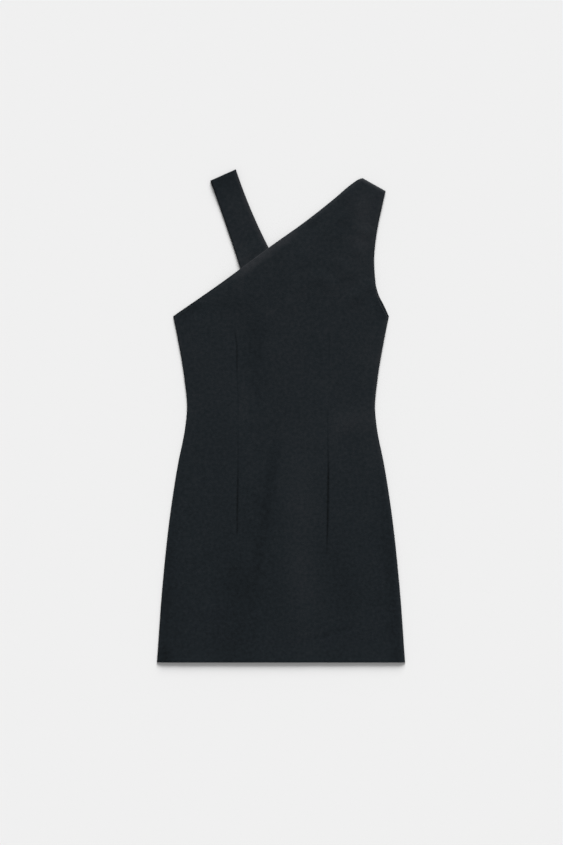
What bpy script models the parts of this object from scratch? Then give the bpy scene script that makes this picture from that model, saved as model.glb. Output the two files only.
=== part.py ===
"""Asymmetric mini dress in plain crepe, laid flat on its back.

Front and back are cut to one outline: a neckline that slants from the left underarm to the
right shoulder, an armhole on the right, two long waist darts and a straight turned-up hem.
A wide strap, folded at its top, is sewn inside both necklines and goes over the other shoulder.
Left and right are as the dress lies, seen from above.
"""

import math
from collections import namedtuple

import bmesh
import bpy
import numpy as np

MM = 0.001

# Tables and sizes are in millimetres: x from the centre line, height up from the hem.
LENGTH = 900.0
WALL = 1.4
SEAM_GAP = 0.3

Section = namedtuple("Section", "name height half_width")
SIDE_SEAM = (
    Section("hem", 0.0, 226.7),
    Section("thigh", 146.0, 215.9),
    Section("low hip", 277.0, 201.5),
    Section("high hip", 365.0, 187.6),
    Section("below waist", 425.0, 175.6),
    Section("waist", 462.0, 171.8),
    Section("ribs", 518.0, 176.5),
    Section("bust", 584.0, 187.4),
    Section("underarm", 632.0, 197.0),
)

EdgePoint = namedtuple("EdgePoint", "x height")
NECKLINE = (
    EdgePoint(-197.0, 632.0),
    EdgePoint(-102.7, 697.4),
    EdgePoint(-22.2, 757.0),
    EdgePoint(54.5, 812.4),
    EdgePoint(98.4, 847.6),
    EdgePoint(131.3, 875.0),
    EdgePoint(148.5, 884.3),
)
ARMHOLE = (
    EdgePoint(197.0, 632.0),
    EdgePoint(187.2, 653.5),
    EdgePoint(179.2, 669.0),
    EdgePoint(174.4, 684.0),
    EdgePoint(171.5, 712.0),
    EdgePoint(171.1, 741.2),
    EdgePoint(173.8, 770.5),
    EdgePoint(178.7, 799.7),
    EdgePoint(184.9, 828.9),
    EdgePoint(191.4, 860.6),
)
BACK_NECK_DROP = 5.0

# The front's armhole lies inside the back's where it turns under the arm.
Inset = namedtuple("Inset", "height inset")
FRONT_ARMHOLE_INSET = (
    Inset(600.0, 0.0),
    Inset(615.0, 1.0),
    Inset(632.0, 2.8),
    Inset(642.0, 4.6),
    Inset(654.0, 5.4),
    Inset(672.0, 2.6),
    Inset(694.0, 0.0),
)

LEFT_DART = (
    EdgePoint(-80.3, 218.0),
    EdgePoint(-79.7, 284.0),
    EdgePoint(-77.9, 379.0),
    EdgePoint(-76.6, 461.5),
    EdgePoint(-80.3, 563.0),
    EdgePoint(-84.9, 607.0),
)
RIGHT_DART = (
    EdgePoint(83.0, 189.0),
    EdgePoint(86.1, 348.0),
    EdgePoint(85.6, 461.5),
    EdgePoint(86.0, 563.0),
    EdgePoint(90.5, 601.0),
)
DART_DEPTH = 0.5
DART_HALF_WIDTH = 2.4
DART_TAPER = 30.0

HEM_TURN_UP = 38.0
HEM_EXTRA = 0.35
HEM_STEP = 12.0

# How far the front stands off the back, away from its seams.
PUFF = 1.3
PUFF_REACH = 42.0
FREE_EDGE_OPEN = 0.5
SHOULDER_ROLL = 14.0

Fold = namedtuple("Fold", "name x_top height_top x_low height_low half_width rise")
FRONT_FOLDS = (
    Fold("skirt trough", -4.8, 391.0, -56.0, 10.0, 26.0, -0.9),
    Fold("skirt ridge", 35.0, 351.0, 44.5, 20.0, 58.0, 1.3),
    Fold("left skirt ridge", -128.0, 320.0, -148.0, 40.0, 62.0, 0.8),
    Fold("right skirt ridge", 142.0, 230.0, 158.0, 30.0, 48.0, 0.6),
    Fold("hem crease", 128.5, 62.5, 39.0, 37.0, 12.0, -0.5),
    Fold("waist drag", 168.0, 452.0, 98.0, 436.0, 26.0, 0.7),
    Fold("bodice hollow", -52.0, 590.0, -50.0, 470.0, 24.0, -0.6),
    Fold("bust swell", 18.0, 690.0, 10.0, 560.0, 60.0, 0.6),
    Fold("shoulder swell", 146.0, 850.0, 138.0, 730.0, 34.0, 0.8),
)
FOLD_TAPER = 0.22

# Corners of the strap, from its folded top to the ends sewn inside the necklines.
STRAP_TOP_LEFT = EdgePoint(-129.3, 879.4)
STRAP_TOP_RIGHT = EdgePoint(-82.4, 900.3)
STRAP_END_LEFT = EdgePoint(-68.4, 700.5)
STRAP_END_RIGHT = EdgePoint(-15.0, 742.5)
STRAP_RIGHT_BOW = 4.2
STRAP_FOLD_GAP = 1.2
STRAP_FOLD_REACH = 0.25
STRAP_FREE_GAP = 0.6
STRAP_CLIMB = 34.0
STRAP_CLEAR = 3.0
STRAP_DOME = 0.8
STRAP_DOME_REACH = 12.0

# Where the front stands over the strap's two sewn ends, between two shares of the neckline.
SEAT_SHARES = (0.36, 0.52)
SEAT_HALF_LENGTH = 42.0
SEAT_DEPTH = 24.0
SEAT_FADE = 48.0

# Segments of the grids that the walls are made on, and how they crowd towards an edge.
COLUMN_COUNTS = (6, 1, 1, 9, 1, 1, 6)
COLUMN_CROWDING = 1.5
HEM_ROWS = (0.0, 5.0, 14.0, 26.0)
BODY_ROWS = 24
UPPER_ROWS = 13
ROW_CROWDING = 1.15
STRAP_COLUMNS = 6
STRAP_ROWS = 11
STRAP_FOLD_ROWS = 6

# How an edge is rounded: rise from -1 at the lower face to 1 at the upper, and how far in.
Profile = namedtuple("Profile", "rise inset")
FREE_EDGE = (Profile(1.0, 0.6), Profile(0.45, 0.05), Profile(-0.45, 0.05), Profile(-1.0, 0.6))
SEAM_OVER = (Profile(1.0, 1.2), Profile(0.62, 0.3), Profile(0.0, 0.0), Profile(-1.0, 0.0))
SEAM_UNDER = (Profile(1.0, 0.0), Profile(0.0, 0.0), Profile(-0.62, 0.3), Profile(-1.0, 1.2))

CREPE = (0.0144, 0.0176, 0.0203)
CREPE_ROUGHNESS = 0.85
SHARP_ANGLE = math.radians(40.0)


def ease(t):
    """Smooth step from 0 to 1."""
    t = min(max(t, 0.0), 1.0)
    return t * t * (3.0 - 2.0 * t)


def smooth_table(keys, values):
    """Smooth curve through a table's rows: gives the value, or the point, at any key."""
    keys = np.array(keys, dtype=float)
    values = np.array(values, dtype=float)
    slopes = np.gradient(values, keys, axis=0)

    def read(key):
        row = int(np.clip(np.searchsorted(keys, key) - 1, 0, len(keys) - 2))
        span = keys[row + 1] - keys[row]
        t = (key - keys[row]) / span
        return (
            (2 * t**3 - 3 * t**2 + 1) * values[row]
            + (t**3 - 2 * t**2 + t) * span * slopes[row]
            + (3 * t**2 - 2 * t**3) * values[row + 1]
            + (t**3 - t**2) * span * slopes[row + 1]
        )

    return read


def curve_through(points):
    """Smooth curve through points, read by the share of its length from 0 to 1."""
    steps = np.linalg.norm(np.diff(np.array(points), axis=0), axis=1)
    shares = np.concatenate(([0.0], np.cumsum(steps))) / steps.sum()
    return smooth_table(shares, points)


half_width = smooth_table([row.height for row in SIDE_SEAM], [row.half_width for row in SIDE_SEAM])
neckline = curve_through(NECKLINE)
armhole = curve_through(ARMHOLE)
UNDERARM_HEIGHT = SIDE_SEAM[-1].height
BODY_HEIGHTS = (*HEM_ROWS, *np.linspace(HEM_TURN_UP, UNDERARM_HEIGHT, BODY_ROWS))


def front_inset(height):
    """How far the front's right edge lies inside the back's."""
    rows = FRONT_ARMHOLE_INSET
    return float(np.interp(height, [row.height for row in rows], [row.inset for row in rows]))


def dart_x(dart, height):
    """The dart's place across, held straight on past its ends."""
    return float(np.interp(height, [row.height for row in dart], [row.x for row in dart]))


def dart_groove(x, height):
    """Depth of the sewn groove that a dart leaves on the outside."""
    depth = 0.0
    for dart in (LEFT_DART, RIGHT_DART):
        across = 1.0 - abs(x - dart_x(dart, height)) / DART_HALF_WIDTH
        from_ends = min(height - dart[0].height, dart[-1].height - height)
        depth += DART_DEPTH * max(across, 0.0) * ease(from_ends / DART_TAPER)
    return depth


def wall_at(height):
    """Thickness of a panel, thicker where the hem is turned up inside."""
    return WALL + HEM_EXTRA * ease((HEM_TURN_UP - height) / HEM_STEP)


def fold_rise(fold, x, height):
    """What one soft ridge or trough adds to the front's height at a point."""
    run = np.array((fold.x_low - fold.x_top, fold.height_low - fold.height_top))
    place = np.array((x - fold.x_top, height - fold.height_top))
    along = float(place @ run / (run @ run))
    share = min(max(along, 0.0), 1.0)
    distance = float(np.linalg.norm(place - share * run)) / fold.half_width
    if distance >= 1.0:
        return 0.0
    ends = ease(min(along + FOLD_TAPER, 1.0 + FOLD_TAPER - along) / (2 * FOLD_TAPER))
    return fold.rise * ends * math.cos(0.5 * math.pi * distance) ** 2


def strap_edges(share):
    """The strap's left and right edge, from 0 at its folded top to 1 at its sewn end."""
    left = (1.0 - share) * np.array(STRAP_TOP_LEFT) + share * np.array(STRAP_END_LEFT)
    right = (1.0 - share) * np.array(STRAP_TOP_RIGHT) + share * np.array(STRAP_END_RIGHT)
    right[0] -= STRAP_RIGHT_BOW * 4.0 * share * (1.0 - share)
    return left, right


# The strap's seat on the neckline: its middle, the way along it and the way into the dress.
SEAT_LEFT, SEAT_RIGHT = (neckline(share) for share in SEAT_SHARES)
SEAT_MIDDLE = 0.5 * (np.array(STRAP_END_LEFT) + np.array(STRAP_END_RIGHT))
SEAT_ALONG = (SEAT_RIGHT - SEAT_LEFT) / np.linalg.norm(SEAT_RIGHT - SEAT_LEFT)
SEAT_INWARD = np.array((SEAT_ALONG[1], -SEAT_ALONG[0]))


def seat_place(x, height):
    """Distance along the neckline from the strap's middle, and depth inside the neckline."""
    place = np.array((x, height))
    return float((place - SEAT_MIDDLE) @ SEAT_ALONG), float((place - SEAT_LEFT) @ SEAT_INWARD)


def seat_dome(depth):
    """The sewn ends' bulk lifts the upper one a little, inside the neckline."""
    return STRAP_DOME * ease(depth / STRAP_DOME_REACH)


def front_gap(x, height, from_edge, from_shoulder):
    """Clear gap between the front's and the back's inner faces."""
    open_edge = FREE_EDGE_OPEN * ease((height - UNDERARM_HEIGHT) / PUFF_REACH)
    inside = ease(from_edge / PUFF_REACH)
    folds = sum(fold_rise(fold, x, height) for fold in FRONT_FOLDS)
    lift = open_edge + (PUFF - open_edge + folds) * inside
    lift *= ease(from_shoulder / SHOULDER_ROLL)
    along, depth = seat_place(x, height)
    seat = ease((SEAT_HALF_LENGTH + SEAT_FADE - abs(along)) / SEAT_FADE)
    seat *= ease((SEAT_DEPTH + SEAT_FADE - depth) / SEAT_FADE)
    strap_stack = 2.0 * (WALL + SEAM_GAP) + seat_dome(depth)
    return SEAM_GAP + (1.0 - seat) * max(lift, 0.0) + seat * strap_stack


def body_ends(height, is_front):
    """A row's ends below the underarm, on the two side seams."""
    half = float(half_width(height))
    inset = front_inset(height) if is_front else 0.0
    return np.array((-half, height)), np.array((half - inset, height))


def upper_ends(share, is_front):
    """A row's ends above the underarm, on the neckline and on the armhole."""
    left, right = neckline(share), armhole(share)
    if is_front:
        right[0] -= front_inset(right[1])
    else:
        left[1] -= BACK_NECK_DROP * 4.0 * share * (1.0 - share)
    return left, right


def row_places(left, right, height):
    """Places of a body row's columns, with one on each dart and one on each of its sides."""
    darts = [dart_x(LEFT_DART, height), dart_x(RIGHT_DART, height)]
    stops = [left]
    for dart in darts:
        stops += [dart - DART_HALF_WIDTH, dart, dart + DART_HALF_WIDTH]
    stops.append(right)
    places = [left]
    for index, count in enumerate(COLUMN_COUNTS):
        for step in range(1, count + 1):
            t = step / count
            if index == 0:
                t = t**COLUMN_CROWDING
            elif index == len(COLUMN_COUNTS) - 1:
                t = 1.0 - (1.0 - t) ** COLUMN_CROWDING
            places.append(stops[index] + t * (stops[index + 1] - stops[index]))
    return np.array(places)


def panel_grid(is_front):
    """Flat grid of a panel's points, from the hem up to the shoulder."""
    grid = []
    for height in BODY_HEIGHTS:
        left, right = body_ends(height, is_front)
        places = row_places(left[0], right[0], height)
        grid.append([(x, height) for x in places])
    body_shares = (places - left[0]) / (right[0] - left[0])
    even_shares = np.linspace(0.0, 1.0, len(body_shares))
    for step in range(1, UPPER_ROWS + 1):
        left, right = upper_ends(1.0 - (1.0 - step / UPPER_ROWS) ** ROW_CROWDING, is_front)
        blend = ease(step / UPPER_ROWS)
        shares = (1.0 - blend) * body_shares + blend * even_shares
        grid.append([(1.0 - share) * left + share * right for share in shares])
    return np.array(grid)


def boundary_loop(row_count, column_count):
    """Grid places round the edge, counter-clockwise from the first corner."""
    bottom = [(0, column) for column in range(column_count - 1)]
    right = [(row, column_count - 1) for row in range(row_count - 1)]
    top = [(row_count - 1, column) for column in range(column_count - 1, 0, -1)]
    left = [(row, 0) for row in range(row_count - 1, 0, -1)]
    return bottom + right + top + left


def outward_ways(upper, lower, loop):
    """Unit vectors that point out of the sheet, one for each place round its edge."""
    ways = []
    for index, place in enumerate(loop):
        before, after = loop[index - 1], loop[(index + 1) % len(loop)]
        along_in = (upper[place] - upper[before]) / np.linalg.norm(upper[place] - upper[before])
        along_out = (upper[after] - upper[place]) / np.linalg.norm(upper[after] - upper[place])
        way = np.cross(along_in + along_out, upper[place] - lower[place])
        ways.append(way / np.linalg.norm(way))
    return ways


def crepe_material(name):
    """Matt dark crepe."""
    material = bpy.data.materials.new(name)
    material.use_nodes = True
    shader = material.node_tree.nodes["Principled BSDF"]
    shader.inputs["Base Color"].default_value = (*CREPE, 1.0)
    shader.inputs["Roughness"].default_value = CREPE_ROUGHNESS
    shader.inputs["Metallic"].default_value = 0.0
    return material


def add_wall(name, upper, lower, profile_at):
    """Closed wall of cloth between two grids of points, with its edge rounded by profiles."""
    row_count, column_count = upper.shape[:2]
    loop = boundary_loop(row_count, column_count)
    ways = outward_ways(upper, lower, loop)
    mesh = bmesh.new()
    faces = {}
    for side, grid in (("upper", upper), ("lower", lower)):
        faces[side] = {}
        for row in range(1, row_count - 1):
            for column in range(1, column_count - 1):
                faces[side][row, column] = mesh.verts.new(grid[row, column] * MM)
    rim = []
    for place, way in zip(loop, ways):
        middle = 0.5 * (upper[place] + lower[place])
        half = 0.5 * (upper[place] - lower[place])
        stack = [mesh.verts.new((middle + step.rise * half - step.inset * way) * MM)
                 for step in profile_at(*place)]
        faces["upper"][place] = stack[0]
        faces["lower"][place] = stack[-1]
        rim.append(stack)
    for row in range(row_count - 1):
        for column in range(column_count - 1):
            corners = [(row, column), (row, column + 1), (row + 1, column + 1), (row + 1, column)]
            mesh.faces.new([faces["upper"][corner] for corner in corners])
            mesh.faces.new([faces["lower"][corner] for corner in reversed(corners)])
    for index, stack in enumerate(rim):
        following = rim[(index + 1) % len(rim)]
        for step in range(len(stack) - 1):
            mesh.faces.new([stack[step], stack[step + 1], following[step + 1], following[step]])
    data = bpy.data.meshes.new(name)
    mesh.to_mesh(data)
    mesh.free()
    data.shade_smooth()
    data.set_sharp_from_angle(angle=SHARP_ANGLE)
    data.materials.append(crepe_material(name + "_crepe"))
    bpy.context.collection.objects.link(bpy.data.objects.new(name, data))


def panel_faces(x, height, is_front, from_edge, from_shoulder):
    """Heights of a panel's lower and upper face above the ground."""
    groove = dart_groove(x, height)
    if not is_front:
        return groove, wall_at(height)
    low = wall_at(height) + front_gap(x, height, from_edge, from_shoulder)
    return low, low + wall_at(height) - groove


def make_panel(name, is_front):
    """Front or back: a wall on the panel's grid, seamed at its sides and shoulder."""
    flat = panel_grid(is_front)
    row_count, column_count = flat.shape[:2]
    upper = np.zeros((row_count, column_count, 3))
    lower = np.zeros((row_count, column_count, 3))
    for row, column in np.ndindex(row_count, column_count):
        place = flat[row, column]
        from_edge = min(math.dist(place, flat[row, 0]), math.dist(place, flat[row, -1]))
        from_shoulder = math.dist(place, flat[-1, column])
        x, height = place
        low, high = panel_faces(x, height, is_front, from_edge, from_shoulder)
        upper[row, column] = (x, height - 0.5 * LENGTH, high)
        lower[row, column] = (x, height - 0.5 * LENGTH, low)

    def profile_at(row, column):
        at_side_seam = column in (0, column_count - 1) and 0 < row < len(BODY_HEIGHTS)
        if at_side_seam or row == row_count - 1:
            return SEAM_OVER if is_front else SEAM_UNDER
        return FREE_EDGE

    add_wall(name, upper, lower, profile_at)


def strap_back_face(x, height):
    """Lower face of the strap: on the ground, then up onto the back at its neckline."""
    depth = seat_place(x, height)[1]
    ramp = STRAP_CLIMB - BACK_NECK_DROP - STRAP_CLEAR
    return (WALL + SEAM_GAP) * ease((depth + STRAP_CLIMB) / ramp)


def strap_front_face(x, height, share):
    """Lower face of the strap's upper layer: apart at the fold, close where it is sewn in."""
    depth = seat_place(x, height)[1]
    bulge = ease(1.0 - share / STRAP_FOLD_REACH)
    free_gap = STRAP_FREE_GAP + (STRAP_FOLD_GAP - STRAP_FREE_GAP) * bulge
    gap = SEAM_GAP + (free_gap - SEAM_GAP) * ease(-depth / STRAP_CLIMB)
    return strap_back_face(x, height) + WALL + gap + seat_dome(depth)


def strap_row(share, face):
    """A row of the strap's points from its left edge to its right, at a face's heights."""
    left, right = strap_edges(share)
    row = []
    for step in range(STRAP_COLUMNS + 1):
        x, height = left + (right - left) * step / STRAP_COLUMNS
        row.append((x, height - 0.5 * LENGTH, face(x, height)))
    return row


def make_strap():
    """The strap: from the front's neckline up to the fold, and back to the back's neckline."""
    length = math.dist(STRAP_TOP_LEFT, STRAP_END_LEFT)
    inside = 0.5 * STRAP_FOLD_GAP
    outside = inside + WALL
    shares = np.linspace(1.0, outside / length, STRAP_ROWS)
    outer, inner = [], []
    for share in shares:
        outer.append(strap_row(share, lambda x, height: strap_front_face(x, height, share) + WALL))
        inner.append(strap_row(share, lambda x, height: strap_front_face(x, height, share)))
    for step in range(1, STRAP_FOLD_ROWS):
        turn = math.pi * step / STRAP_FOLD_ROWS
        for radius, rows in ((outside, outer), (inside, inner)):
            share = (outside - radius * math.sin(turn)) / length
            level = outside + radius * math.cos(turn)
            rows.append(strap_row(share, lambda x, height: level))
    for share in reversed(shares):
        outer.append(strap_row(share, strap_back_face))
        inner.append(strap_row(share, lambda x, height: strap_back_face(x, height) + WALL))
    add_wall("strap", np.array(outer), np.array(inner), lambda row, column: FREE_EDGE)


for old in list(bpy.data.objects):
    bpy.data.objects.remove(old, do_unlink=True)

make_panel("back_panel", is_front=False)
make_panel("front_panel", is_front=True)
make_strap()
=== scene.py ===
import math

import bpy
import numpy as np
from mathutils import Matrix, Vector, noise


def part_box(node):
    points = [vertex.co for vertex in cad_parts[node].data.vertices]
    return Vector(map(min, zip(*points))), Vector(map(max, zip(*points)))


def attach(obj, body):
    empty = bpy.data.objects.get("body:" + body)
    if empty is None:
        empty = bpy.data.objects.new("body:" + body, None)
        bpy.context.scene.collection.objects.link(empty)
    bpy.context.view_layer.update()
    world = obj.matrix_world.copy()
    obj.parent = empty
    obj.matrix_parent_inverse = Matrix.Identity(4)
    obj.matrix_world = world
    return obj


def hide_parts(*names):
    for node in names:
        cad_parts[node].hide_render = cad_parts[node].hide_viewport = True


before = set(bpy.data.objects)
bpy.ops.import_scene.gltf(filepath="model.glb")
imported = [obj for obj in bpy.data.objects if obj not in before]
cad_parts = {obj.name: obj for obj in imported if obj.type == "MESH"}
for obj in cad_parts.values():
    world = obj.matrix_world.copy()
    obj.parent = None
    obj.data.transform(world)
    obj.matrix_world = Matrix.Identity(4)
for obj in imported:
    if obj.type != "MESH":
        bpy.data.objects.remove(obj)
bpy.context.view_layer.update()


# Back panel
# The back of the dress, one panel of black crepe that lies face down on the surface. It is sewn
# to the front at both sides and at the shoulder, has two sewn darts and a turned-up hem.

# Tables and sizes are in millimetres: x from the centre line, height up from the hem.
MM = 0.001
HEM_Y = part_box("back_panel")[0].y
WALL = 1.4
HEM_TURN_UP = 38.0
HEM_EXTRA = 0.35
HEM_STEP = 40.0
UNDERARM = 632.0

SIDE_SEAM = np.array(  # height, half width
    (
        (0.0, 226.7),
        (146.0, 215.9),
        (277.0, 201.5),
        (365.0, 187.6),
        (425.0, 175.6),
        (462.0, 171.8),
        (518.0, 176.5),
        (584.0, 187.4),
        (UNDERARM, 197.0),
    )
)
NECKLINE = np.array(  # x, height
    (
        (-197.0, UNDERARM),
        (-102.7, 697.4),
        (-22.2, 757.0),
        (54.5, 812.4),
        (98.4, 847.6),
        (131.3, 875.0),
        (142.4, 882.2),
        (149.0, 884.2),
    )
)
ARMHOLE = np.array(  # x, height
    (
        (197.0, UNDERARM),
        (187.2, 653.5),
        (179.2, 669.0),
        (174.4, 684.0),
        (170.9, 712.0),
        (170.2, 741.2),
        (172.9, 770.5),
        (177.5, 799.7),
        (183.8, 828.9),
        (191.0, 860.6),
    )
)
BACK_NECK_DROP = 5.0

LEFT_DART = np.array(  # height, x, depth of the sewn line
    (
        (218.0, -80.3, 0.0),
        (240.0, -80.2, 0.55),
        (284.0, -79.7, 0.75),
        (335.0, -78.8, 0.7),
        (375.0, -78.6, 0.35),
        (425.0, -78.0, 0.15),
        (470.0, -77.8, 0.25),
        (520.0, -80.4, 0.3),
        (545.0, -80.6, 0.6),
        (575.0, -80.6, 0.6),
        (597.0, -83.4, 0.5),
        (607.0, -84.9, 0.0),
    )
)
RIGHT_DART = np.array(  # height, x, depth of the sewn line
    (
        (189.0, 83.0, 0.0),
        (208.0, 83.7, 0.5),
        (245.0, 84.6, 0.9),
        (300.0, 85.6, 1.05),
        (350.0, 86.2, 0.95),
        (378.0, 85.6, 0.45),
        (440.0, 85.1, 0.25),
        (490.0, 87.2, 0.15),
        (530.0, 88.0, 0.15),
        (570.0, 87.4, 0.3),
        (592.0, 89.3, 0.2),
        (601.0, 90.5, 0.0),
    )
)
DART_LINE = 1.3
DART_LINE_MORE = 1.5
DART_DIP = 0.3
DART_DIP_REACH = 9.0

BACK_FOLDS = (  # x and height at the top, x and height at the bottom, half width, rise
    (-96.0, 360.0, -118.0, 40.0, 46.0, 0.5),
    (28.0, 330.0, 6.0, 60.0, 52.0, 0.6),
    (130.0, 300.0, 150.0, 30.0, 40.0, 0.45),
    (20.0, 600.0, 34.0, 480.0, 48.0, 0.4),
    (-120.0, 470.0, -40.0, 452.0, 18.0, 0.35),
)
FOLD_TAPER = 0.22
PUFF_REACH = 42.0

WAVE_GAIN = 1.6
SEAM_ROUNDING = 1.6
UNDERSIDE_MOST = 1.0

BODY_ROWS = 150
UPPER_ROWS = 62
SIDE_COLUMNS = 24
MIDDLE_COLUMNS = 38
HEM_CROWDING = 1.25
SIDE_CROWDING = 1.8
SHOULDER_CROWDING = 1.3
DART_COLUMNS = np.array((-9.0, -5.0, -2.6, -1.5, -0.7, 0.0, 0.7, 1.5, 2.6, 5.0, 9.0))
ROUND_STEPS = 7

# Painted shade and highlight are in steps of about one level of the finished picture, darker below
# 0.
# The dart lines get painted shade, darkest where each sewn line sinks into its crease.
DART_PAINTED_SHADE = -11.0


def ease(t):
    """Smooth step from 0 to 1."""
    t = np.clip(t, 0.0, 1.0)
    return t * t * (3.0 - 2.0 * t)


def smooth_through(keys, values, at):
    """Smooth curve through a table's rows, read at any keys."""
    slopes = np.gradient(values, keys, axis=0)
    row = np.clip(np.searchsorted(keys, at) - 1, 0, len(keys) - 2)
    span = keys[row + 1] - keys[row]
    t = (at - keys[row]) / span
    if values.ndim == 2:
        span = span[:, None]
        t = t[:, None]
    start = (2 * t**3 - 3 * t**2 + 1) * values[row] + (t**3 - 2 * t**2 + t) * span * slopes[row]
    end = (3 * t**2 - 2 * t**3) * values[row + 1] + (t**3 - t**2) * span * slopes[row + 1]
    return start + end


def edge_curve(points, shares):
    """Points on a smooth edge, at shares of its length from 0 to 1."""
    steps = np.linalg.norm(np.diff(points, axis=0), axis=1)
    return smooth_through(np.append(0.0, np.cumsum(steps)) / steps.sum(), points, shares)


def dart_places(dart, height):
    """A dart's place across and the depth of its line, at any heights."""
    return np.interp(height, dart[:, 0], dart[:, 1]), np.interp(height, dart[:, 0], dart[:, 2])


def dart_form(x, height):
    """Sharp sewn lines of both darts, 0 to 1, and the depth of the lines and dips together."""
    line = np.zeros_like(x)
    depth = np.zeros_like(x)
    for dart in (LEFT_DART, RIGHT_DART):
        place, deep = dart_places(dart, height)
        off = np.abs(x - place)
        sharp = deep * np.clip(1.0 - off / (DART_LINE + DART_LINE_MORE * deep), 0.0, 1.0)
        line += sharp
        depth += sharp + deep * DART_DIP * (1.0 - ease(off / DART_DIP_REACH))
    return line, depth


def fold_rises(folds, x, height):
    """What a table of soft ridges and troughs adds to a panel's height."""
    rise = np.zeros_like(x)
    for x_top, height_top, x_low, height_low, half_width, amount in folds:
        run_x, run_height = x_low - x_top, height_low - height_top
        off_x, off_height = x - x_top, height - height_top
        along = (off_x * run_x + off_height * run_height) / (run_x**2 + run_height**2)
        share = np.clip(along, 0.0, 1.0)
        away = np.hypot(off_x - share * run_x, off_height - share * run_height) / half_width
        ends = ease(np.minimum(along + FOLD_TAPER, 1.0 + FOLD_TAPER - along) / (2 * FOLD_TAPER))
        rise += amount * ends * np.cos(0.5 * math.pi * np.minimum(away, 1.0)) ** 2
    return rise


def slow_waves(x, height, size_x, size_height, seed):
    """The soft unevenness of cloth that lies loose, about -1 to 1, in waves of a given size."""
    flat = zip(x.ravel() / size_x, height.ravel() / size_height)
    waves = [noise.noise(Vector((a, b, seed))) for a, b in flat]
    return WAVE_GAIN * np.array(waves).reshape(x.shape)


def body_row(left, right, height):
    """Places across a row below the underarm, crowded at its ends and round the darts."""
    from_left, _ = dart_places(LEFT_DART, height)
    from_right, _ = dart_places(RIGHT_DART, height)
    outer = np.linspace(0.0, 1.0, SIDE_COLUMNS + 1)[:-1]
    inner = np.linspace(0.0, 1.0, MIDDLE_COLUMNS + 1)[1:-1]
    first, last = from_left + DART_COLUMNS, from_right + DART_COLUMNS
    return np.concatenate(
        (
            left + outer**SIDE_CROWDING * (first[0] - left),
            first,
            first[-1] + inner * (last[0] - first[-1]),
            last,
            right - outer[::-1] ** SIDE_CROWDING * (right - last[-1]),
        )
    )


def panel_grid(neck_drop, right_inset):
    """Points of a panel, from the hem up to the shoulder: x and height, each rows by columns."""
    heights = UNDERARM * np.linspace(0.0, 1.0, BODY_ROWS + 1) ** HEM_CROWDING
    halves = smooth_through(SIDE_SEAM[:, 0], SIDE_SEAM[:, 1], heights)
    rows = []
    for height, half in zip(heights, halves):
        across = body_row(-half, half - right_inset(height), height)
        rows.append(np.column_stack((across, np.full(len(across), height))))
    shares = (across - across[0]) / (across[-1] - across[0])
    steps = np.linspace(0.0, 1.0, UPPER_ROWS + 1)[1:]
    up = 1.0 - (1.0 - steps) ** SHOULDER_CROWDING
    lefts, rights = edge_curve(NECKLINE, up), edge_curve(ARMHOLE, up)
    lefts[:, 1] -= neck_drop * 4.0 * up * (1.0 - up)
    rights[:, 0] -= right_inset(rights[:, 1])
    for step, left, right in zip(steps, lefts, rights):
        blend = ease(step)
        mixed = (1.0 - blend) * shares + blend * np.linspace(0.0, 1.0, len(shares))
        rows.append(left + mixed[:, None] * (right - left))
    grid = np.array(rows)
    return grid[..., 0], grid[..., 1]


def distance_to(x, height, line):
    """Distance from each point of a grid to a line of points."""
    away = np.full(x.shape, np.inf)
    for (x_a, height_a), (x_b, height_b) in zip(line[:-1], line[1:]):
        run_x, run_height = x_b - x_a, height_b - height_a
        off_x, off_height = x - x_a, height - height_a
        along = (off_x * run_x + off_height * run_height) / (run_x**2 + run_height**2)
        along = np.clip(along, 0.0, 1.0)
        away = np.minimum(away, np.hypot(off_x - along * run_x, off_height - along * run_height))
    return away


def wall_at(height):
    """Thickness of a panel, thicker where the hem is turned up inside."""
    return WALL + HEM_EXTRA * ease((HEM_TURN_UP - height) / HEM_STEP)


# Edge profiles: level from 1 at the top face to -1 at the lower one, and distance inside the edge.
half_turn = np.linspace(0.0, math.pi, ROUND_STEPS)
quarter_turn = 0.5 * half_turn
FREE_EDGE = np.column_stack((np.cos(half_turn), 0.5 * WALL * (1.0 - np.sin(half_turn))))
seam_inside = SEAM_ROUNDING * (1.0 - np.sin(quarter_turn))
SEAM_OVER = np.column_stack((2.0 * np.cos(quarter_turn) - 1.0, seam_inside))
SEAM_UNDER = np.column_stack((-SEAM_OVER[::-1, 0], SEAM_OVER[::-1, 1]))


def unit(vectors):
    """The same vectors with length 1."""
    return vectors / np.linalg.norm(vectors, axis=-1, keepdims=True)


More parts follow.
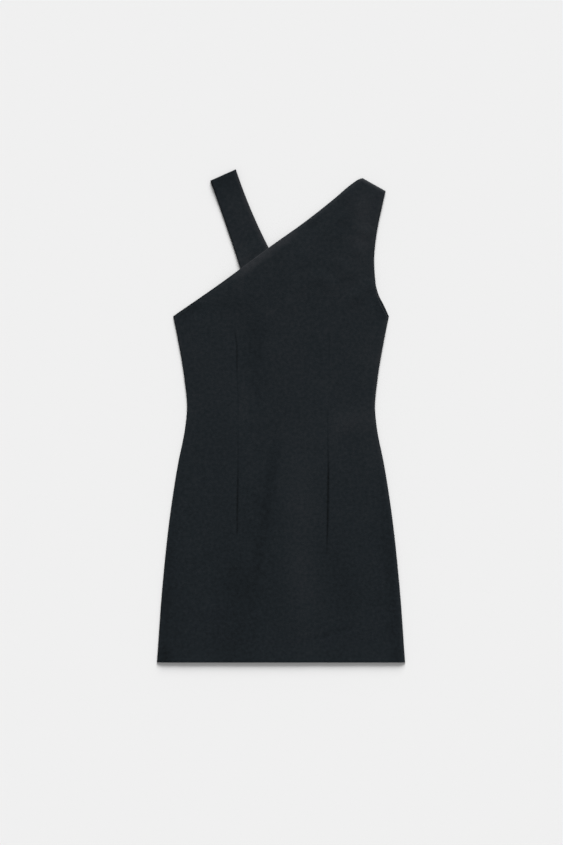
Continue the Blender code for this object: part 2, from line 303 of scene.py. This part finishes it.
def cloth_wall(name, upper, lower, seamed, seam_profile, tone):
    """A closed wall of cloth between two grids of points, its edges rounded by a profile."""
    rows, columns = tone.shape
    index = np.arange(rows * columns).reshape(rows, columns)
    loop = np.concatenate((index[0, :-1], index[:-1, -1], index[-1, :0:-1], index[:0:-1, 0]))
    top, under = upper.reshape(-1, 3).copy(), lower.reshape(-1, 3).copy()
    half, middle = 0.5 * (top[loop] - under[loop]), 0.5 * (top[loop] + under[loop])
    ahead = unit(np.roll(top[loop], -1, axis=0) - top[loop])
    way = unit(np.cross(ahead + np.roll(ahead, 1, axis=0), half))
    profile = np.where(seamed.ravel()[loop][:, None, None], seam_profile, FREE_EDGE)
    rim = middle[:, None] + profile[..., :1] * half[:, None] - profile[..., 1:] * way[:, None]
    top[loop], under[loop] = rim[:, 0], rim[:, -1]
    between = rim[:, 1:-1].reshape(-1, 3)
    places = np.concatenate((top, under, between)) * MM
    places[:, 1] += HEM_Y
    stacks = np.column_stack(
        (
            loop,
            2 * index.size + np.arange(len(between)).reshape(len(loop), -1),
            loop + index.size,
        )
    )
    after = np.roll(stacks, -1, axis=0)
    squares = np.stack((index[:-1, :-1], index[:-1, 1:], index[1:, 1:], index[1:, :-1]), axis=-1)
    edges = np.stack((stacks[:, :-1], stacks[:, 1:], after[:, 1:], after[:, :-1]), axis=-1)
    squares = squares.reshape(-1, 4)
    faces = np.concatenate((squares, squares[:, ::-1] + index.size, edges.reshape(-1, 4)))
    mesh = bpy.data.meshes.new(name)
    mesh.from_pydata(places.tolist(), [], faces.tolist())
    mesh.shade_smooth()
    # Each point keeps its painted shade and highlight, which the material reads.
    marks = mesh.attributes.new("tone", "FLOAT", "POINT")
    between_tone = np.repeat(tone.ravel()[loop], profile.shape[1] - 2)
    marks.data.foreach_set("value", np.concatenate((tone.ravel(), tone.ravel(), between_tone)))
    cloth = bpy.data.objects.new(name, mesh)
    bpy.context.collection.objects.link(cloth)
    return cloth


class Socket:
    """One output of a material's nodes. Arithmetic on it adds Math nodes to that material."""

    def __init__(self, tree, output=None):
        self.tree = tree
        self.output = output

    def node(self, kind, settings=None, inputs=None, output=0):
        """Any node: its settings go first, then the values or links of its sockets."""
        made = self.tree.nodes.new(kind)
        for name, value in (settings or {}).items():
            if name == "stops":
                elements = made.color_ramp.elements
                for position, _ in value[2:]:
                    elements.new(position)
                for element, (position, color) in zip(elements, value):
                    element.position = position
                    element.color = color
            else:
                setattr(made, name, value)
        for name, value in (inputs or {}).items():
            if isinstance(value, Socket):
                self.tree.links.new(value.output, made.inputs[name])
            else:
                made.inputs[name].default_value = value
        return Socket(self.tree, made.outputs[output])

    def math(self, operation, first, second):
        return self.node("ShaderNodeMath", {"operation": operation}, {0: first, 1: second})

    def __add__(self, other):
        return self.math("ADD", self, other)

    def __mul__(self, other):
        return self.math("MULTIPLY", self, other)

    __radd__ = __add__
    __rmul__ = __mul__


TONE_STEP = 0.035
SPECULAR = 0.05
SHEEN = 0.1
SHEEN_ROUGHNESS = 0.4
ROUGHNESS_LEAST = 0.78
ROUGHNESS_RANGE = 0.14
WEAVE_DEPTH = 0.00022
WEAVE_STRENGTH = 0.5
GRAIN = {"Scale": 1150.0, "Detail": 2.0}
CRINKLE = {"Scale": 560.0, "Detail": 2.0}
MOTTLE = {"Scale": 170.0, "Detail": 2.0}
DRIFT = {"Scale": 14.0, "Detail": 1.0}
YARN = {"Scale": 620.0, "Distortion": 1.6, "Detail": 1.0, "Detail Scale": 2.0}
CREPE = (  # from the painted shade of a sewn line to the paler grey of a painted highlight at an edge
    (0.0, (0.0008, 0.0011, 0.0014, 1.0)),
    (0.53, (0.0097, 0.0130, 0.0157, 1.0)),
    (1.0, (0.0224, 0.0242, 0.0273, 1.0)),
)


def crepe(name):
    """Matt black crepe: tightly twisted yarns in a plain weave, which make a fine dry pebble."""
    material = bpy.data.materials.new(name)
    material.use_nodes = True
    tree = material.node_tree
    shader = tree.nodes["Principled BSDF"]
    shader.inputs["Specular IOR Level"].default_value = SPECULAR
    shader.inputs["Sheen Weight"].default_value = SHEEN
    shader.inputs["Sheen Roughness"].default_value = SHEEN_ROUGHNESS
    start = Socket(tree)
    place = start.node("ShaderNodeTexCoord", output="Object")

    def pebbles(form):
        settings = {"noise_dimensions": "3D"}
        return start.node("ShaderNodeTexNoise", settings, {"Vector": place, **form})

    def yarns(direction):
        settings = {"wave_type": "BANDS", "bands_direction": direction, "wave_profile": "SIN"}
        return start.node("ShaderNodeTexWave", settings, {"Vector": place, **YARN})

    grain = pebbles(GRAIN)
    crinkle = pebbles(CRINKLE)
    mottle = pebbles(MOTTLE)
    drift = pebbles(DRIFT)
    # This attribute holds the painted shade and painted highlights of darts, folds, edges and the
    # strap.
    tone = start.node("ShaderNodeAttribute", {"attribute_name": "tone"}, output="Fac")
    light = -0.005 + 0.36 * grain + 0.12 * crinkle + 0.50 * mottle + 0.13 * drift
    light = light + TONE_STEP * tone
    color = start.node("ShaderNodeValToRGB", {"stops": CREPE}, {"Fac": light}, output="Color")
    weave = grain + 0.2 * yarns("X") + 0.2 * yarns("Y") + 2.6 * crinkle
    relief = {"Strength": WEAVE_STRENGTH, "Distance": WEAVE_DEPTH, "Height": weave}
    bump = start.node("ShaderNodeBump", None, relief)
    tree.links.new(color.output, shader.inputs["Base Color"])
    roughness = ROUGHNESS_LEAST + ROUGHNESS_RANGE * grain
    tree.links.new(roughness.output, shader.inputs["Roughness"])
    tree.links.new(bump.output, shader.inputs["Normal"])
    return material


def no_inset(height):
    return 0.0 * height


back_x, back_height = panel_grid(BACK_NECK_DROP, no_inset)
back_sides = np.minimum(back_x - back_x[:, :1], back_x[:, -1:] - back_x)
back_inside = ease(back_sides / PUFF_REACH) * ease((UNDERARM - back_height) / PUFF_REACH)
back_lines, back_dart_depth = dart_form(back_x, back_height)
back_raised = fold_rises(BACK_FOLDS, back_x, back_height) * back_inside
back_raised = np.maximum(back_raised, 0.0)
back_low = np.minimum(back_raised + back_dart_depth, UNDERSIDE_MOST)
back_high = wall_at(back_height) + back_raised
back_seamed = np.zeros(back_x.shape, dtype=bool)
back_seamed[1 : BODY_ROWS + 1, [0, -1]] = True
back_seamed[-1, :] = True
back = cloth_wall(
    "dress_back",
    np.stack((back_x, back_height, back_high), axis=-1),
    np.stack((back_x, back_height, back_low), axis=-1),
    back_seamed,
    SEAM_UNDER,
    # Painted shade in the dart lines; the back is also darker where its folds rise.
    DART_PAINTED_SHADE * back_lines - back_raised,
)
back.data.materials.append(crepe("black_crepe_back"))
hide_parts("back_panel")
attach(back, "root")


# Front panel
# The front, cut to the back's outline, lies face up on it. It bulges a little off the back, with
# soft pressed-in folds in the skirt, and stands over the two strap ends sewn inside the neckline.

SEAM_GAP = 0.3
PUFF = 0.5
FREE_EDGE_OPEN = 0.4
EDGE_ROLL = 1.4
EDGE_ROLL_REACH = 6.5
EDGE_ROLL_POWER = 1.7
EDGE_WAVE = 1.6
EDGE_WAVE_FORM = (34.0, 34.0, 5.7)  # size across, size along, seed
LOOSE_WAVE = 1.9
LOOSE_WAVE_FORM = (62.0, 330.0, 3.1)
SMALL_WAVE = 0.12
SMALL_WAVE_FORM = (21.0, 60.0, 7.4)
HEM_LIFT = 1.95
HEM_RIPPLE = 0.2
HEM_RIPPLE_FORM = (38.0, 260.0, 12.6)
HEM_REACH = 95.0
HEM_CORNER = 12.0
SEAM_PUCKER = 0.12
SEAM_PUCKER_FORM = (15.0, 6.5, 21.8)
SEAM_PUCKER_REACH = 13.0
SEAM_PUCKER_START = 2.5
DART_TOP = 1.7
HEM_RIDGE = 0.28
HEM_RIDGE_HEIGHT = 4.6
HEM_RIDGE_HALF = 2.4

FRONT_INSET = np.array(  # height, how far the front's armhole lies inside the back's
    (
        (600.0, 0.0),
        (615.0, 1.0),
        (632.0, 2.8),
        (642.0, 4.6),
        (654.0, 5.4),
        (672.0, 2.6),
        (694.0, 0.0),
    )
)
FRONT_FOLDS = (  # x and height at the top, x and height at the bottom, half width, rise
    (-3.0, 430.0, -52.0, 100.0, 20.0, -1.0),
    (-56.0, 150.0, -72.0, 10.0, 48.0, -0.6),
    (35.0, 351.0, 44.5, 20.0, 58.0, 1.3),
    (-128.0, 320.0, -148.0, 40.0, 62.0, 0.8),
    (142.0, 230.0, 158.0, 30.0, 48.0, 0.6),
    (128.5, 62.5, 39.0, 37.0, 9.0, -1.1),
    (168.0, 452.0, 98.0, 436.0, 30.0, 0.5),
    (-50.0, 600.0, -46.0, 470.0, 28.0, -0.5),
    (18.0, 690.0, 10.0, 560.0, 60.0, 0.6),
    (146.0, 850.0, 138.0, 730.0, 34.0, 0.8),
)

# Patches of painted shade and painted highlight: darker where the front's slopes turn from the
# light, paler where they turn to it.
FRONT_PAINTED_SHADING = (  # x and height at the top, x and height at the bottom, half width, steps
    (-17.0, 350.0, -44.0, 165.0, 20.0, -1.6),
    (-72.0, 180.0, -86.0, -10.0, 66.0, -1.3),
    (38.0, 400.0, 35.0, 20.0, 56.0, 1.5),
    (128.0, 178.0, 118.0, 95.0, 38.0, -1.0),
    (186.0, 355.0, 212.0, 10.0, 24.0, -2.2),
    (-200.0, 335.0, -215.0, 10.0, 24.0, -1.6),
    (-222.0, 24.0, -204.0, 0.0, 26.0, -3.5),
    (222.0, 24.0, 206.0, 0.0, 22.0, -2.5),
    (98.0, 434.0, 168.0, 444.0, 36.0, 2.2),
    (172.0, 600.0, 168.0, 330.0, 30.0, 1.2),
    (-47.0, 630.0, -44.0, 470.0, 27.0, -1.6),
    (-186.0, 636.0, -145.0, 654.0, 24.0, -3.5),
    (-138.0, 640.0, -56.0, 662.0, 16.0, -1.2),
    (-25.0, 636.0, -13.0, 643.0, 9.0, 4.0),
    (3.0, 664.0, 7.0, 668.0, 4.0, -6.0),
    (147.0, 846.0, 156.0, 752.0, 27.0, 1.8),
    (160.0, 850.0, 152.0, 690.0, 34.0, 1.6),
    (115.0, 778.0, 154.0, 762.0, 13.0, 1.5),
    (-69.0, 508.0, -67.0, 424.0, 14.0, 1.4),
    (190.0, 626.0, 180.0, 664.0, 14.0, -3.5),
)
# Painted highlight on the folds' ridges and painted shade in their troughs, per millimetre of
# rise.
FOLD_PAINTED_SHADING = 1.1
# Painted light: the front is paler up the bodice and towards its right side, and darker over the
# skirt.
SKIRT_PAINTED_SHADE = -1.3
BODICE_PAINTED_LIGHT = 2.0
BODICE_PAINTED_LIGHT_FROM = 180.0
BODICE_PAINTED_LIGHT_REACH = 300.0
PAINTED_LIGHT_STEP_TO_RIGHT = 450.0

# A rim is a painted highlight along an edge, where the rolled cloth catches the light, and a line
# is painted shade at the edge itself, where the cloth turns under.
NECK_PAINTED_HIGHLIGHT = (9.0, 7.0)  # reach, steps
SHOULDER_PAINTED_HIGHLIGHT = (8.5, 13.0)
ARM_PAINTED_HIGHLIGHT = (9.0, 7.0)
RIGHT_PAINTED_HIGHLIGHT = (9.0, 7.5)
LEFT_PAINTED_HIGHLIGHT = (8.0, 3.5)
NECK_PAINTED_SHADE = (3.4, -13.0)
ARM_PAINTED_SHADE = (3.4, -9.0)
RIGHT_PAINTED_SHADE = (3.2, -4.0)
LEFT_PAINTED_SHADE = (3.2, -11.0)
RIM_POWER = 1.3
NECK_PAINTED_HIGHLIGHT_FROM = -150.0
NECK_PAINTED_HIGHLIGHT_FADE = 90.0
ARM_PAINTED_HIGHLIGHT_FROM = 660.0
ARM_PAINTED_HIGHLIGHT_FADE = 30.0
# Over the strap's sewn ends the neckline gets a painted highlight, where the front rises over them
# and catches the light.
OVER_STRAP_FROM = -62.0
OVER_STRAP_RISE = 40.0
OVER_STRAP_TO = 112.0
OVER_STRAP_FALL = 45.0
OVER_STRAP_PAINTED_HIGHLIGHT = 6.5
OVER_STRAP_WIDTH = 7.0
OVER_STRAP_FADE = 12.0
OVER_STRAP_PAINTED_HIGHLIGHT_LESS = 0.5

STRAP_END_LEFT = np.array((-68.4, 700.5))
STRAP_END_RIGHT = np.array((-15.0, 742.5))
SEAT_SHARES = np.array((0.36, 0.52))
SEAT_HALF_LENGTH = 42.0
SEAT_DEPTH = 24.0
SEAT_FADE_BELOW = 120.0
SEAT_FADE_BESIDE = 80.0
STRAP_DOME = 1.8
STRAP_DOME_REACH = 17.0
EDGE_POINTS = 60

seat_left, seat_right = edge_curve(NECKLINE, SEAT_SHARES)
seat_along = unit(seat_right - seat_left)
seat_middle = 0.5 * (STRAP_END_LEFT + STRAP_END_RIGHT)


def edge_roll(distance, reach):
    """Rise of cloth that rolls over at an edge, from 0 at the edge to 1 at its reach."""
    return 1.0 - (1.0 - np.clip(distance / reach, 0.0, 1.0)) ** EDGE_ROLL_POWER


def rim(distance, reach, steps):
    """Painted highlight or painted shade of an edge, most at the edge and gone at its reach."""
    return steps * (1.0 - np.clip(distance / reach, 0.0, 1.0)) ** RIM_POWER


def seat_place(x, height):
    """Distance along the neckline from the strap's middle, and depth inside the neckline."""
    along = (x - seat_middle[0]) * seat_along[0] + (height - seat_middle[1]) * seat_along[1]
    depth = (x - seat_left[0]) * seat_along[1] - (height - seat_left[1]) * seat_along[0]
    return along, depth


def seat_dome(depth):
    """The bulk of the sewn ends lifts the front a little, inside the neckline."""
    return STRAP_DOME * edge_roll(depth, STRAP_DOME_REACH)


def front_inset(height):
    return np.interp(height, FRONT_INSET[:, 0], FRONT_INSET[:, 1])


x, height = panel_grid(0.0, front_inset)
from_left = np.hypot(x - x[:, :1], height - height[:, :1])
from_right = np.hypot(x - x[:, -1:], height - height[:, -1:])
from_sides = np.minimum(from_left, from_right)
from_shoulder = distance_to(x, height, np.array((NECKLINE[-1], ARMHOLE[-1])))
edge_shares = np.linspace(0.0, 1.0, EDGE_POINTS)
from_neck = distance_to(x, height, edge_curve(NECKLINE, edge_shares))
from_arm = distance_to(x, height, edge_curve(ARMHOLE, edge_shares))
from_sides_only = np.where(height < UNDERARM, from_sides, np.minimum(from_neck, from_arm))
from_edges = np.minimum(from_sides_only, from_shoulder)
inside = ease(from_edges / PUFF_REACH)
folds = fold_rises(FRONT_FOLDS, x, height)
edge_waves = np.maximum(slow_waves(x, height, *EDGE_WAVE_FORM), 0.0)
open_edge = (FREE_EDGE_OPEN + EDGE_WAVE * edge_waves) * ease((height - UNDERARM) / PUFF_REACH)
open_edge *= ease(from_shoulder / PUFF_REACH)
lift = open_edge + EDGE_ROLL * edge_roll(from_edges, EDGE_ROLL_REACH)
waves = LOOSE_WAVE * slow_waves(x, height, *LOOSE_WAVE_FORM)
waves += SMALL_WAVE * slow_waves(x, height, *SMALL_WAVE_FORM)
lift += (PUFF + folds + waves) * inside
hem_lift = HEM_LIFT + HEM_RIPPLE * slow_waves(x, height, *HEM_RIPPLE_FORM)
lift += (1.0 - ease(height / HEM_REACH)) * (hem_lift * ease(from_sides / HEM_CORNER) - lift)
puckers = SEAM_PUCKER * slow_waves(x, height, *SEAM_PUCKER_FORM)
puckers *= 1.0 - ease(from_sides / SEAM_PUCKER_REACH)
lift += puckers * ease(from_sides / SEAM_PUCKER_START)
lift = np.maximum(lift, 0.0)
along, depth = seat_place(x, height)
seat = ease((SEAT_HALF_LENGTH + SEAT_FADE_BESIDE - np.abs(along)) / SEAT_FADE_BESIDE)
seat *= ease((SEAT_DEPTH + SEAT_FADE_BELOW - depth) / SEAT_FADE_BELOW)
low = wall_at(height) + SEAM_GAP
low += (1.0 - seat) * lift + seat * (2.0 * (WALL + SEAM_GAP) + seat_dome(depth))
lines, dart_depth = dart_form(x, height)
high = low + wall_at(height) - DART_TOP * dart_depth
from_ridge = np.minimum(np.abs(height - HEM_RIDGE_HEIGHT) / HEM_RIDGE_HALF, 1.0)
high += HEM_RIDGE * np.cos(0.5 * math.pi * from_ridge) ** 2
# The front's painted shade and highlight: its folds, dart lines and listed patches.
tone = FOLD_PAINTED_SHADING * folds + DART_PAINTED_SHADE * lines + fold_rises(FRONT_PAINTED_SHADING, x, height)
# Painted light, paler up the bodice and to the right.
tone += BODICE_PAINTED_LIGHT * ease((height - BODICE_PAINTED_LIGHT_FROM) / BODICE_PAINTED_LIGHT_REACH)
tone += x / PAINTED_LIGHT_STEP_TO_RIGHT + SKIRT_PAINTED_SHADE
over_strap = ease((along - OVER_STRAP_FROM) / OVER_STRAP_RISE)
over_strap *= ease((OVER_STRAP_TO - along) / OVER_STRAP_FALL)
# Painted highlights along the neckline, shoulder, armhole and sides, and thin lines of painted
# shade at the edges where the cloth turns under.
neck_painted_highlight = rim(from_neck, *NECK_PAINTED_HIGHLIGHT) * ease((x - NECK_PAINTED_HIGHLIGHT_FROM) / NECK_PAINTED_HIGHLIGHT_FADE)
tone += neck_painted_highlight * (1.0 - OVER_STRAP_PAINTED_HIGHLIGHT_LESS * over_strap)
# Painted highlight along the neckline where it rises over the strap's ends.
over_strap_inside = (from_neck - OVER_STRAP_WIDTH) / OVER_STRAP_FADE
tone += OVER_STRAP_PAINTED_HIGHLIGHT * (1.0 - ease(over_strap_inside)) * over_strap
tone += rim(from_shoulder, *SHOULDER_PAINTED_HIGHLIGHT)
tone += rim(from_arm, *ARM_PAINTED_HIGHLIGHT) * ease((height - ARM_PAINTED_HIGHLIGHT_FROM) / ARM_PAINTED_HIGHLIGHT_FADE)
tone += rim(from_neck, *NECK_PAINTED_SHADE) * (1.0 - over_strap) + rim(from_arm, *ARM_PAINTED_SHADE)
side_painted_shading = rim(from_right, *RIGHT_PAINTED_HIGHLIGHT) + rim(from_left, *LEFT_PAINTED_HIGHLIGHT)
side_painted_shading += rim(from_right, *RIGHT_PAINTED_SHADE) + rim(from_left, *LEFT_PAINTED_SHADE)
tone += np.where(height < UNDERARM, side_painted_shading, 0.0)
seamed = np.zeros(x.shape, dtype=bool)
seamed[1 : BODY_ROWS + 1, [0, -1]] = True
seamed[-1, :] = True
front = cloth_wall(
    "dress_front",
    np.stack((x, height, high), axis=-1),
    np.stack((x, height, low - dart_depth), axis=-1),
    seamed,
    SEAM_OVER,
    tone,
)
front.data.materials.append(crepe("black_crepe_front"))
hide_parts("front_panel")
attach(front, "root")


# Strap
# A wide strip of doubled crepe, turned and pressed, that goes over the other shoulder. As the
# dress lies it is folded at its top, with one end sewn inside each neckline.

STRAP_TOP_LEFT = np.array((-129.3, 879.4))
STRAP_TOP_RIGHT = np.array((-82.4, 900.3))
STRAP_LEFT_BOW = 1.2
STRAP_RIGHT_BOW = 4.0
STRAP_FOLD_GAP = 2.2
STRAP_FOLD_REACH = 0.3
STRAP_FREE_GAP = 0.6
STRAP_CLIMB = 34.0
STRAP_CLEAR = 3.0
STRAP_CROWN = 0.25
STRAP_COLUMNS = 22
STRAP_ROWS = 70
STRAP_FOLD_ROWS = 14

# The strap is a little paler overall. It has painted shade at its folded top and painted light on
# its lower left, where it tilts to the light. A painted highlight runs along its right edge and a
# line of painted shade along its left edge.
STRAP_TONE = 1.4
STRAP_TOP_PAINTED_SHADE = 4.6
STRAP_TOP_SHARE = 0.28
STRAP_PAINTED_LIGHT = 4.5
STRAP_PAINTED_LIGHT_FROM = 0.45
STRAP_PAINTED_LIGHT_WIDTH = 0.6
STRAP_PAINTED_HIGHLIGHT = (8.5, 13.0)  # reach, steps
STRAP_PAINTED_SHADE = (3.2, -14.0)


def strap_place(share, across):
    """x and height on the strap, from its folded top to its sewn end and from left to right."""
    left = STRAP_TOP_LEFT + share * (STRAP_END_LEFT - STRAP_TOP_LEFT)
    right = STRAP_TOP_RIGHT + share * (STRAP_END_RIGHT - STRAP_TOP_RIGHT)
    bow = 4.0 * share * (1.0 - share)
    left, right = left + (STRAP_LEFT_BOW * bow, 0.0), right - (STRAP_RIGHT_BOW * bow, 0.0)
    return (left + across[:, None] * (right - left)).T


def strap_back_face(x, height):
    """Lower face of the strap: on the ground, then up onto the back at its neckline."""
    ramp = STRAP_CLIMB - BACK_NECK_DROP - STRAP_CLEAR
    return (WALL + SEAM_GAP) * ease((seat_place(x, height)[1] + STRAP_CLIMB) / ramp)


def strap_front_face(x, height, share):
    """Lower face of the strap's upper layer: apart at the fold, close where it is sewn in."""
    depth = seat_place(x, height)[1]
    bulge = ease(1.0 - share / STRAP_FOLD_REACH)
    free_gap = STRAP_FREE_GAP + (STRAP_FOLD_GAP - STRAP_FREE_GAP) * bulge
    gap = SEAM_GAP + (free_gap - SEAM_GAP) * ease(-depth / STRAP_CLIMB)
    return strap_back_face(x, height) + WALL + gap + seat_dome(depth)


across = 0.5 - 0.5 * np.cos(math.pi * np.linspace(0.0, 1.0, STRAP_COLUMNS + 1))
crown = STRAP_CROWN * np.sin(math.pi * across) ** 0.5
strap_length = math.dist(STRAP_TOP_LEFT, STRAP_END_LEFT)
fold_inside = 0.5 * STRAP_FOLD_GAP
fold_outside = fold_inside + WALL
strap_shares = np.linspace(1.0, fold_outside / strap_length, STRAP_ROWS)
strap_width = math.dist(STRAP_TOP_LEFT, STRAP_TOP_RIGHT)
outer, inner, strap_painted_shading = [], [], []
for share in strap_shares:
    strap_x, strap_height = strap_place(share, across)
    face = strap_front_face(strap_x, strap_height, share)
    rise = crown * ease(-seat_place(strap_x, strap_height)[1] / STRAP_CLIMB)
    outer.append(np.column_stack((strap_x, strap_height, face + WALL + rise)))
    inner.append(np.column_stack((strap_x, strap_height, face + rise)))
    # Painted light on the strap's lower left, painted shade at its top, and painted highlight and
    # shade along its edges.
    lower_left_painted_light = ease((share - STRAP_PAINTED_LIGHT_FROM) / (1.0 - STRAP_PAINTED_LIGHT_FROM))
    lower_left_painted_light *= STRAP_PAINTED_LIGHT * (1.0 - ease(across / STRAP_PAINTED_LIGHT_WIDTH))
    painted_shade_top = STRAP_TOP_PAINTED_SHADE * (1.0 - ease(share / STRAP_TOP_SHARE))
    right_painted_highlight = rim((1.0 - across) * strap_width, *STRAP_PAINTED_HIGHLIGHT)
    left_painted_shade = rim(across * strap_width, *STRAP_PAINTED_SHADE)
    strap_painted_shading.append(STRAP_TONE - painted_shade_top + lower_left_painted_light + right_painted_highlight + left_painted_shade)
for turn in np.linspace(0.0, math.pi, STRAP_FOLD_ROWS)[1:-1]:
    for radius, rows in ((fold_outside, outer), (fold_inside, inner)):
        share = (fold_outside - radius * math.sin(turn)) / strap_length
        strap_x, strap_height = strap_place(share, across)
        level = fold_outside + radius * math.cos(turn) + crown * 0.5 * (1.0 + math.cos(turn))
        rows.append(np.column_stack((strap_x, strap_height, level)))
for share in strap_shares[::-1]:
    strap_x, strap_height = strap_place(share, across)
    face = strap_back_face(strap_x, strap_height)
    outer.append(np.column_stack((strap_x, strap_height, face)))
    inner.append(np.column_stack((strap_x, strap_height, face + WALL)))
outer, inner = np.array(outer), np.array(inner)
strap_painted_shading += [strap_painted_shading[-1]] * (len(outer) - len(strap_painted_shading))
free = np.zeros(outer.shape[:2], dtype=bool)
strap = cloth_wall("dress_strap", outer, inner, free, SEAM_OVER, np.array(strap_painted_shading))
strap.data.materials.append(crepe("black_crepe_strap"))
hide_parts("strap")
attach(strap, "root")


# Surface, light and camera
# The dress lies on a plain pale surface and is seen from straight above. One large soft light
# stands beyond the shoulder, low enough to draw a short shadow below the hem. The studio's wall
# is as pale as the surface where the two meet, and dimmer above.

PHOTO_WIDTH = 563
PHOTO_HEIGHT = 845
PIXEL = 1.827 * MM
DRESS_MIDDLE = (281.0, 415.9)
CAMERA_RISE = 3.2
SENSOR_HEIGHT = 24.0
SURFACE_SIZE = 40.0
SURFACE_LEVEL = -0.0001
SURFACE_ALBEDO = 0.8
SURFACE_SHOWN = 0.8665
WALL_PALE_TO = 0.06
WALL_DIM_FROM = 0.16
AMBIENT_SHARE = 0.36
LIGHT_ELEVATION = math.radians(26.0)
LIGHT_AZIMUTH = math.radians(4.0)
LIGHT_SPREAD = math.radians(34.0)


def grey(level):
    return (level, level, level, 1.0)


half = 0.5 * SURFACE_SIZE
corners = [(-half, -half, 0.0), (half, -half, 0.0), (half, half, 0.0), (-half, half, 0.0)]
surface_mesh = bpy.data.meshes.new("surface")
surface_mesh.from_pydata(corners, [], [(0, 1, 2, 3)])
surface = bpy.data.objects.new("floor", surface_mesh)
surface.location.z = SURFACE_LEVEL
bpy.context.collection.objects.link(surface)
paper = bpy.data.materials.new("pale_surface")
paper.use_nodes = True
paper_shader = paper.node_tree.nodes["Principled BSDF"]
paper_shader.inputs["Base Color"].default_value = grey(SURFACE_ALBEDO)
paper_shader.inputs["Roughness"].default_value = 1.0
paper_shader.inputs["Specular IOR Level"].default_value = 0.0
surface_mesh.materials.append(paper)

brightness = SURFACE_SHOWN / SURFACE_ALBEDO
low_and_high = (
    (WALL_PALE_TO, grey(SURFACE_SHOWN)),
    (WALL_DIM_FROM, grey(brightness * AMBIENT_SHARE)),
)
world = bpy.data.worlds.new("studio")
world.use_nodes = True
studio = Socket(world.node_tree)
way = studio.node("ShaderNodeTexCoord", output="Generated")
steepness = studio.node("ShaderNodeSeparateXYZ", None, {"Vector": way}, output="Z")
stops = {"stops": low_and_high}
wall = studio.node("ShaderNodeValToRGB", stops, {"Fac": steepness}, output="Color")
background = world.node_tree.nodes["Background"]
world.node_tree.links.new(wall.output, background.inputs["Color"])
bpy.context.scene.world = world

lamp = bpy.data.lights.new("softbox", "SUN")
lamp.angle = LIGHT_SPREAD
lamp.energy = brightness * (1.0 - AMBIENT_SHARE) * math.pi / math.sin(LIGHT_ELEVATION)
light = bpy.data.objects.new("softbox", lamp)
light.rotation_euler.x = LIGHT_ELEVATION - 0.5 * math.pi
light.rotation_euler.z = -LIGHT_AZIMUTH
bpy.context.collection.objects.link(light)

camera_data = bpy.data.cameras.new("camera")
camera_data.sensor_fit = "VERTICAL"
camera_data.sensor_height = SENSOR_HEIGHT
camera_data.lens = SENSOR_HEIGHT * CAMERA_RISE / (PHOTO_HEIGHT * PIXEL)
camera = bpy.data.objects.new("camera", camera_data)
camera.location.x = (0.5 * PHOTO_WIDTH - DRESS_MIDDLE[0]) * PIXEL
camera.location.y = (DRESS_MIDDLE[1] - 0.5 * PHOTO_HEIGHT) * PIXEL
camera.location.z = CAMERA_RISE
bpy.context.collection.objects.link(camera)
bpy.context.scene.camera = camera
bpy.context.scene.view_settings.view_transform = "Standard"
bpy.context.scene.view_settings.look = "None"
